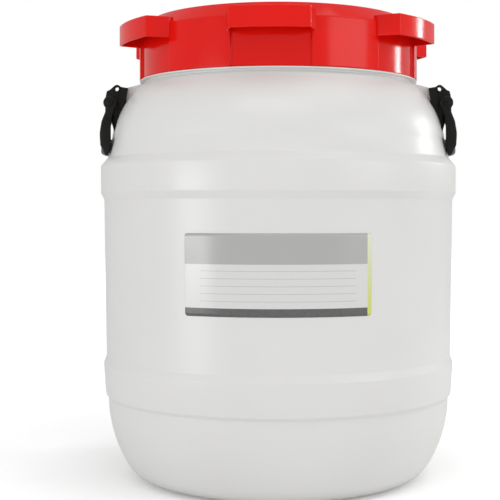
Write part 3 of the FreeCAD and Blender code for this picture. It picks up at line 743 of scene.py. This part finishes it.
def floor_material():
    """Pale floor that shows white where it is lit and keeps the drum's shadow; its camera-only
    glow is weaker near the drum, which paints shade round the foot.
    """
    graph = Graph("Studio Floor")
    grain = graph.spread(graph.noise(3.0, 2.0), 0.0, 1.0)
    graph.set("Base Color", graph.mix(grain, *FLOOR_TONES))
    graph.set("Roughness", 0.9)
    graph.set("Specular IOR Level", 0.1)
    graph.set("Emission Color", (1.0, 1.0, 1.0, 1.0))
    axes = graph.add("ShaderNodeSeparateXYZ", {0: graph.place})
    across, along = axes.outputs[0], axes.outputs[1]
    away = graph.maths("SQRT", graph.maths("ADD", graph.maths("MULTIPLY", across, across),
                                           graph.maths("MULTIPLY", along, along)))
    # painted shade: less glow near the drum darkens the floor round its foot
    level = graph.maths("ADD", graph.span(away, *FLOOR_GLOW_NEAR),
                        graph.span(away, *FLOOR_GLOW_FAR))
    seen = graph.add("ShaderNodeLightPath").outputs["Is Camera Ray"]
    graph.set("Emission Strength", graph.maths("MULTIPLY", seen, level))
    return graph.material


# Pieces

class DRUM_OT_shell(bpy.types.Operator):
    """Make the blown shell with its bands, pads and threaded neck"""

    bl_idname = "drum.make_shell"
    bl_label = "Shell"

    def execute(self, context):
        skin = shell_skin()
        wall = sizes().wall / MM
        outline = rounded([
            *skin,
            (COLLAR_LIP, LIP_BOTTOM, 0.5),
            (COLLAR_LIP, COLLAR_TOP, 0.5),
            (NECK_RADIUS, COLLAR_TOP, 1.0),
            (NECK_RADIUS, RIM_HEIGHT, 1.3),
            (MOUTH_RADIUS, RIM_HEIGHT, 1.3),
            (MOUTH_RADIUS, COLLAR_TOP, 3.0),
            *reversed(inset(skin, wall)),
        ])
        bm = bmesh.new()
        lathe(bm, outline, sizes().shell_steps)
        bmesh.ops.remove_doubles(bm, verts=bm.verts, dist=WELD)
        for side in (-1, 1):
            self.raise_pad(bm, side)
        thread_ridge(bm, NECK_RADIUS, NECK_RADIUS + THREAD_DEPTH, NECK_THREAD_START)
        clean(bm)
        piece(bm, "drum_shell", "drum", "shell", shell_material(), "drum_body")
        return {"FINISHED"}

    def raise_pad(self, bm, side):
        """Lifts a flat handle pad out of the shoulder on one side."""
        def outside(point, slack=0.0):
            height = point.z / MM
            return (side * point.x / MM > 130 and abs(point.y) / MM < PAD_HALF_WIDTH + slack
                    and PAD_FOOT[1] - slack < height < PAD_SHELF[1] + slack
                    and point.xy.length / MM > shoulder_reach(height) - 1)

        cuts = [((0, sign * (PAD_HALF_WIDTH + more), 0), (0, 1, 0))
                for sign in (-1, 1) for more in (0, PAD_BLEND)]
        cuts += [((0, 0, height), (0, 0, 1)) for height in
                 (PAD_FOOT[1] - PAD_FOOT_BLEND, PAD_FOOT[1], PAD_TOP[1] - PAD_TOP_BLEND,
                  PAD_TOP[1], PAD_SHELF[1])]
        for place, normal in cuts:
            faces = [f for f in bm.faces if outside(f.calc_center_median(), 12)]
            edges = {e for f in faces for e in f.edges}
            verts = {v for f in faces for v in f.verts}
            bmesh.ops.bisect_plane(bm, geom=faces + list(edges) + list(verts), dist=WELD,
                                   plane_co=Vector(place) * MM, plane_no=normal)
        for vert in bm.verts:
            if outside(vert.co, 0.01):
                reach = pad_reach(min(vert.co.z / MM, PAD_SHELF[1])) * MM
                vert.co.x = side * max(reach, side * vert.co.x)


class DRUM_OT_lid(bpy.types.Operator):
    """Make the screw lid with its crown, recessed skirt and hollow lugs"""

    bl_idname = "drum.make_lid"
    bl_label = "Lid"

    def execute(self, context):
        bm = bmesh.new()
        self.make_sector(bm)
        self.make_lug(bm)
        sector = bm.verts[:] + bm.edges[:] + bm.faces[:]
        for count in range(1, LUG_COUNT):
            made = bmesh.ops.duplicate(bm, geom=sector)["geom"]
            bmesh.ops.rotate(
                bm, verts=[v for v in made if isinstance(v, bmesh.types.BMVert)],
                cent=(0, 0, 0), matrix=Matrix.Rotation(count * FULL_TURN / LUG_COUNT, 3, "Z"))
        clean(bm)
        made = piece(bm, "lid_shell", "lid", "lid", lid_material(), "lid", turn=LID_TURN)
        round_edges(made, sizes().edge_round)
        ridge = bmesh.new()
        thread_ridge(ridge, LID_BORE, LID_BORE - THREAD_DEPTH, LID_THREAD_START)
        clean(ridge)
        piece(ridge, "lid_thread", "lid", "lid", made.data.materials[0], turn=LID_TURN)
        return {"FINISHED"}

    def make_sector(self, bm):
        """One sixth of the crown and skirt, with the recess behind a lug."""
        outline = rounded([
            (0.0, PANEL_UNDERSIDE),
            (PLUG_RADIUS, PANEL_UNDERSIDE),
            (PLUG_RADIUS, SEAT_HEIGHT),
            (LID_BORE, SEAT_HEIGHT),
            (LID_BORE, SKIRT_BOTTOM),
            (RECESS_RADIUS, SKIRT_BOTTOM),
            (SKIRT_RADIUS, SKIRT_BOTTOM),
            (SKIRT_RADIUS, RECESS_TOP),
            (SKIRT_RADIUS, BAND_BOTTOM),
            (CROWN_RADIUS, CROWN_TOP, 3.2),
            (PANEL_RADIUS + PANEL_SLOPE, CROWN_TOP, 2.2),
            (PANEL_RADIUS, PANEL_TOP, 2.5),
            *[(radius, PANEL_TOP + rise) for radius, rise in PANEL_STEPS],
        ])
        plain = FULL_TURN / LUG_COUNT / 2 - RECESS_HALF_ANGLE
        start = Matrix.Rotation(-FULL_TURN / LUG_COUNT / 2, 3, "Z")
        geometry = wire(bm, [start @ Vector((r * MM, 0, z * MM)) for r, z in outline])
        geometry = spin(bm, geometry, plain, PLAIN_STEPS)
        geometry = spin(bm, geometry, 2 * RECESS_HALF_ANGLE, RECESS_STEPS)
        spin(bm, geometry, plain, PLAIN_STEPS)
        bmesh.ops.remove_doubles(bm, verts=bm.verts, dist=WELD)

        def in_recess(face):
            middle = face.calc_center_median()
            return abs(math.atan2(middle.y, middle.x)) < RECESS_HALF_ANGLE

        def is_low(face):
            return all(v.co.z < (SKIRT_BOTTOM + 0.01) * MM for v in face.verts)

        wall = [f for f in bm.faces if in_recess(f) and not is_low(f)
                and all(v.co.xy.length > (SKIRT_RADIUS - 0.1) * MM
                        and v.co.z < (RECESS_TOP + 0.01) * MM for v in f.verts)]
        made = bmesh.ops.extrude_face_region(bm, geom=wall)["geom"]
        for vert in made:
            if isinstance(vert, bmesh.types.BMVert):
                vert.co.xy *= RECESS_RADIUS / SKIRT_RADIUS
        bmesh.ops.delete(bm, geom=wall, context="FACES_KEEP_BOUNDARY")
        doubled = [f for f in bm.faces if in_recess(f) and is_low(f)
                   and f.calc_center_median().xy.length > (RECESS_RADIUS + 0.1) * MM]
        bmesh.ops.delete(bm, geom=doubled, context="FACES_ONLY")
        bmesh.ops.remove_doubles(bm, verts=bm.verts, dist=WELD)
        loose = [e for e in bm.edges if not e.link_faces]
        bmesh.ops.delete(bm, geom=loose, context="EDGES")

    def make_lug(self, bm):
        """Hollow lug, open below, rooted in the crown."""
        lug = bmesh.new()
        half = LUG_FACE[1]
        start = Matrix.Rotation(-half, 3, "Z")
        stops = [LUG_INNER, LUG_ROOT[0], LUG_ROOT[0] + LUG_SHOULDER, LUG_FACE[0]]
        points = [start @ Vector((r * MM, 0, LUG_TOP * MM)) for r in stops]
        spin(lug, wire(lug, points), 2 * half, LUG_STEPS)
        for vert in lug.verts:
            radius = vert.co.xy.length / MM
            share = min(1.0, max(0.0, (radius - LUG_ROOT[0]) / (LUG_FACE[0] - LUG_ROOT[0])))
            wide = LUG_ROOT[1] + (LUG_FACE[1] - LUG_ROOT[1]) * share
            angle = math.atan2(vert.co.y, vert.co.x) * (wide / half - 1)
            vert.co.xy = Matrix.Rotation(angle, 2) @ vert.co.xy
        lifted = bmesh.ops.extrude_face_region(lug, geom=lug.faces[:], use_keep_orig=True)["geom"]
        moved = [v for v in lifted if isinstance(v, bmesh.types.BMVert)]
        bmesh.ops.translate(lug, verts=moved, vec=(0, 0, (LUG_BOTTOM - LUG_TOP) * MM))
        open_faces = [f for f in lug.faces
                      if all(v.co.z < (LUG_BOTTOM + 0.01) * MM for v in f.verts)
                      or all(v.co.xy.length < (LUG_INNER + 0.01) * MM for v in f.verts)]
        bmesh.ops.delete(lug, geom=open_faces, context="FACES")
        clean(lug)
        crown = max(lug.faces, key=lambda f: f.calc_center_median().z)
        if crown.normal.z < 0:
            bmesh.ops.reverse_faces(lug, faces=lug.faces)
        bmesh.ops.solidify(lug, geom=lug.faces[:], thickness=LUG_WALL * MM)
        join(bm, lug)


class DRUM_OT_gasket(bpy.types.Operator):
    """Give the sealing ring under the lid its foamed finish"""

    bl_idname = "drum.dress_gasket"
    bl_label = "Gasket"

    def execute(self, context):
        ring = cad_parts["lid_gasket"]
        material = gasket_material()
        if ring.material_slots:
            for place in ring.material_slots:
                place.material = material
        else:
            ring.data.materials.append(material)
        return {"FINISHED"}


class DRUM_OT_label(bpy.types.Operator):
    """Make the blank adhesive sheet on the front of the waist"""

    bl_idname = "drum.make_label"
    bl_label = "Label"

    def execute(self, context):
        corner = LABEL_CORNER
        rows = [LABEL_BOTTOM, LABEL_BOTTOM + corner]
        rows += [LABEL_BOTTOM + (LABEL_TOP - LABEL_BOTTOM) * row / LABEL_ROWS
                 for row in range(1, LABEL_ROWS)]
        rows += [LABEL_TOP - corner, LABEL_TOP]
        bm = bmesh.new()
        start = Matrix.Rotation(-math.pi / 2 - LABEL_HALF_ANGLE, 3, "Z")
        seat = sizes().label_gap
        points = [start @ Vector((wall_reach(z) * MM + seat, 0, z * MM)) for z in rows]
        spin(bm, wire(bm, points), 2 * LABEL_HALF_ANGLE, LABEL_COLUMNS)
        mean = wall_reach((LABEL_BOTTOM + LABEL_TOP) / 2)
        for cut in LABEL_CORNER_CUTS:
            for sign in (-1, 1):
                turn = sign * (LABEL_HALF_ANGLE - cut / mean) - math.pi / 2
                across = Vector((-math.sin(turn), math.cos(turn), 0))
                bmesh.ops.bisect_plane(bm, geom=bm.verts[:] + bm.edges[:] + bm.faces[:],
                                       dist=WELD, plane_co=(0, 0, 0), plane_no=across)
        for vert in bm.verts:
            angle = math.atan2(vert.co.x, -vert.co.y)
            edge = (LABEL_HALF_ANGLE - abs(angle)) * mean
            if edge < corner:
                drop = corner - math.sqrt(max(0.0, corner ** 2 - (corner - edge) ** 2))
                height = min(LABEL_TOP - drop, max(LABEL_BOTTOM + drop, vert.co.z / MM))
                vert.co.z = height * MM
        clean(bm)
        front = max(bm.faces, key=lambda f: -f.calc_center_median().y)
        if front.normal.y > 0:
            bmesh.ops.reverse_faces(bm, faces=bm.faces)
        made = piece(bm, "label_sheet", "drum", "label", label_material(), "label")
        sheet = made.modifiers.new("Sheet", "SOLIDIFY")
        sheet.thickness, sheet.offset = sizes().label_sheet, 1.0
        return {"FINISHED"}


class DRUM_OT_brackets(bpy.types.Operator):
    """Make the two handle brackets with their cheeks and eyelets"""

    bl_idname = "drum.make_brackets"
    bl_label = "Brackets"

    def execute(self, context):
        edge = sizes().hardware_round
        material = hardware_material()
        dome = [(math.sqrt(shoulder_reach(z) ** 2 - CHEEK_OUTER ** 2) - 1, z)
                for z in CHEEK_FOLLOWS]
        outline = rounded([*CHEEK_STOPS, *dome], closed=True)
        web = rounded(CHEEK_WEB_STOPS, closed=True)
        holes = [circle(EYELET, EYELET_RADIUS)]
        rim = circle(EYELET, EYELET_RIM)[::-1]
        for side, turn in SIDES.items():
            bm = bmesh.new()
            for sign in ENDS.values():
                low, high = sorted((sign * CHEEK_INNER, sign * CHEEK_STEP))
                cheek = flat_part(outline, holes, low, high, edge * 0.6)
                self.fit_to_shoulder(cheek)
                join(bm, cheek)
                low, high = sorted((sign * (CHEEK_STEP - WEB_SINK), sign * CHEEK_OUTER))
                join(bm, flat_part(web, [], low, high, edge * 0.5))
                low, high = sorted((sign * (CHEEK_STEP - RIM_SINK),
                                    sign * (CHEEK_OUTER - RIM_DROP)))
                join(bm, flat_part(rim, holes, low, high, edge * 0.35))
            self.add_plate(bm, edge)
            piece(bm, f"{side}_bracket_shell", "drum", "hardware", material, f"{side}_bracket",
                  turn=turn)
        return {"FINISHED"}

    def fit_to_shoulder(self, bm):
        """Draws the cheek's hidden edge onto the shoulder's curve."""
        for vert in bm.verts:
            reach = shoulder_reach(vert.co.z / MM) + 0.3
            limit = math.sqrt(reach ** 2 - (vert.co.y / MM) ** 2) * MM
            vert.co.x = max(vert.co.x, limit)

    def add_plate(self, bm, edge):
        """Leaning plate between the cheeks, with two stiffening ribs."""
        def leaning(bottom, top, thickness):
            return [(pad_reach(bottom), bottom), (pad_reach(bottom) + thickness, bottom),
                    (pad_reach(top) + thickness, top), (pad_reach(top), top)]

        end = CHEEK_STEP - PLATE_END
        join(bm, flat_part(leaning(*PLATE), [], -end, end, edge * 0.6))
        for low in RIB_BOTTOMS:
            rib = leaning(low, low + RIB_HEIGHT, RIB_THICKNESS)
            join(bm, flat_part(rib, [], -end, end, edge))


class DRUM_OT_handles(bpy.types.Operator):
    """Make the two swinging handles, each a curved grip between two arms"""

    bl_idname = "drum.make_handles"
    bl_label = "Handles"

    def execute(self, context):
        edge = sizes().hardware_round
        material = hardware_material()
        boss = arc((*PIVOT, BOSS_RADIUS), -45, 225, 26)
        outline = rounded([*ARM_STOPS, *boss, *ARM_INNER_STOPS], closed=True)
        bore = [circle(PIVOT, PIN_RADIUS + PIN_PLAY)]
        half = math.asin((ARM_INNER + ARM_OUTER) / (GRIP_INNER + GRIP_OUTER))
        section = rounded([
            (GRIP_INNER, GRIP_BOTTOM, GRIP_ROUND), (GRIP_OUTER, GRIP_BOTTOM, GRIP_ROUND),
            (GRIP_OUTER, GRIP_TOP, GRIP_ROUND), (GRIP_INNER, GRIP_TOP, GRIP_ROUND),
        ], closed=True)
        for side, turn in SIDES.items():
            bm = bmesh.new()
            for sign in ENDS.values():
                low, high = sorted((sign * ARM_INNER, sign * ARM_OUTER))
                join(bm, flat_part(outline, bore, low, high, edge * 1.5))
            grip = bmesh.new()
            start = Matrix.Rotation(-half, 3, "Z")
            ring = wire(grip, [start @ Vector((r * MM, 0, z * MM)) for r, z in section],
                        closed=True)
            face = grip.faces.new(ring[:len(section)])
            spin(grip, ring + [face], 2 * half, GRIP_STEPS)
            clean(grip)
            join(bm, grip)
            piece(bm, f"{side}_handle_shell", f"{side}_handle", "hardware", material,
                  f"{side}_handle", turn=turn)
        return {"FINISHED"}


class DRUM_OT_pins(bpy.types.Operator):
    """Make the four pivot pins with domed heads"""

    bl_idname = "drum.make_pins"
    bl_label = "Pins"

    def execute(self, context):
        material = pin_material()
        outline = rounded(PIN_STOPS)
        for side, turn in SIDES.items():
            for end, sign in ENDS.items():
                bm = bmesh.new()
                lathe(bm, outline, PIN_STEPS)
                place = Matrix.Translation((math.cos(turn) * PIVOT[0] * MM, 0, PIVOT[1] * MM))
                lay = Matrix.Rotation(-sign * math.pi / 2, 4, "X")
                bmesh.ops.transform(bm, matrix=place @ lay, verts=bm.verts)
                clean(bm)
                node = f"{side}_{end}_pin"
                piece(bm, f"{node}_turned", "drum", "pins", material, node)
        return {"FINISHED"}


class DRUM_OT_stage(bpy.types.Operator):
    """Set the pale floor, the soft studio lights and the camera"""

    bl_idname = "drum.set_stage"
    bl_label = "Stage"

    def execute(self, context):
        scene = context.scene
        scene.view_settings.view_transform = "Standard"
        bm = bmesh.new()
        bmesh.ops.create_grid(bm, x_segments=1, y_segments=1, size=FLOOR_HALF)
        mesh = bpy.data.meshes.new("floor")
        bm.to_mesh(mesh)
        bm.free()
        mesh.materials.append(floor_material())
        floor = bpy.data.objects.new("floor", mesh)
        floor.location = (0, 0, -FLOOR_DROP)
        scene.collection.objects.link(floor)
        for light in LIGHTS:
            self.light(*light)
        self.world(scene)
        camera = bpy.data.cameras.new("camera")
        camera.lens, camera.sensor_width = CAMERA_LENS, CAMERA_SENSOR
        camera.shift_x, camera.shift_y = CAMERA_SHIFT
        camera.clip_start, camera.clip_end = CAMERA_CLIP
        viewer = bpy.data.objects.new("camera", camera)
        viewer.location = CAMERA_PLACE
        viewer.rotation_euler = (math.pi / 2, 0, 0)
        scene.collection.objects.link(viewer)
        scene.camera = viewer
        return {"FINISHED"}

    def light(self, name, direction, distance, size, power):
        """Softbox at a compass direction and height angle, aimed at the drum."""
        lamp = bpy.data.lights.new(name, "AREA")
        lamp.shape, lamp.energy = "RECTANGLE", power
        lamp.size, lamp.size_y = size
        holder = bpy.data.objects.new(name, lamp)
        around, up = (math.radians(angle) for angle in direction)
        away = Vector((math.sin(around) * math.cos(up), -math.cos(around) * math.cos(up),
                       math.sin(up)))
        holder.location = Vector(LIGHT_AIM) + away * distance
        holder.rotation_euler = (-away).to_track_quat("-Z", "Y").to_euler()
        bpy.context.scene.collection.objects.link(holder)

    def world(self, scene):
        """White to the camera and through clear things, a soft grey as a light."""
        world = bpy.data.worlds.new("Studio")
        world.use_nodes = True
        tree = world.node_tree
        background = tree.nodes["Background"]
        path = tree.nodes.new("ShaderNodeLightPath")
        seen = tree.nodes.new("ShaderNodeMath")
        seen.operation = "MAXIMUM"
        tree.links.new(path.outputs["Is Camera Ray"], seen.inputs[0])
        tree.links.new(path.outputs["Is Transmission Ray"], seen.inputs[1])
        level = tree.nodes.new("ShaderNodeMapRange")
        tree.links.new(seen.outputs[0], level.inputs[0])
        level.inputs[3].default_value = WORLD_LIGHT
        level.inputs[4].default_value = WORLD_SEEN
        background.inputs["Color"].default_value = (1.0, 1.0, 1.0, 1.0)
        tree.links.new(level.outputs[0], background.inputs["Strength"])
        scene.world = world


MAKERS = (
    DRUM_OT_shell, DRUM_OT_lid, DRUM_OT_gasket, DRUM_OT_label, DRUM_OT_brackets,
    DRUM_OT_handles, DRUM_OT_pins, DRUM_OT_stage,
)


class DRUM_PT_parts(bpy.types.Panel):
    """Panel that lists the drum's sizes, finishes and parts"""

    bl_idname = "DRUM_PT_parts"
    bl_label = "Open Head Drum"
    bl_space_type = "VIEW_3D"
    bl_region_type = "UI"
    bl_category = "Drum"

    def draw(self, context):
        for group in (context.scene.drum_sizes, context.scene.drum_finishes):
            box = self.layout.box()
            for name in group.__annotations__:
                box.prop(group, name)
        for maker in MAKERS:
            self.layout.operator(maker.bl_idname)


CLASSES = (DrumSizes, DrumFinishes, *MAKERS, DRUM_PT_parts)


def register():
    for item in CLASSES:
        bpy.utils.register_class(item)
    bpy.types.Scene.drum_sizes = PointerProperty(type=DrumSizes)
    bpy.types.Scene.drum_finishes = PointerProperty(type=DrumFinishes)


def unregister():
    del bpy.types.Scene.drum_finishes
    del bpy.types.Scene.drum_sizes
    for item in reversed(CLASSES):
        bpy.utils.unregister_class(item)


def main():
    register()
    bpy.ops.drum.make_shell()
    bpy.ops.drum.make_lid()
    bpy.ops.drum.dress_gasket()
    bpy.ops.drum.make_label()
    bpy.ops.drum.make_brackets()
    bpy.ops.drum.make_handles()
    bpy.ops.drum.make_pins()
    bpy.ops.drum.set_stage()


if __name__ == "__main__":
    main()
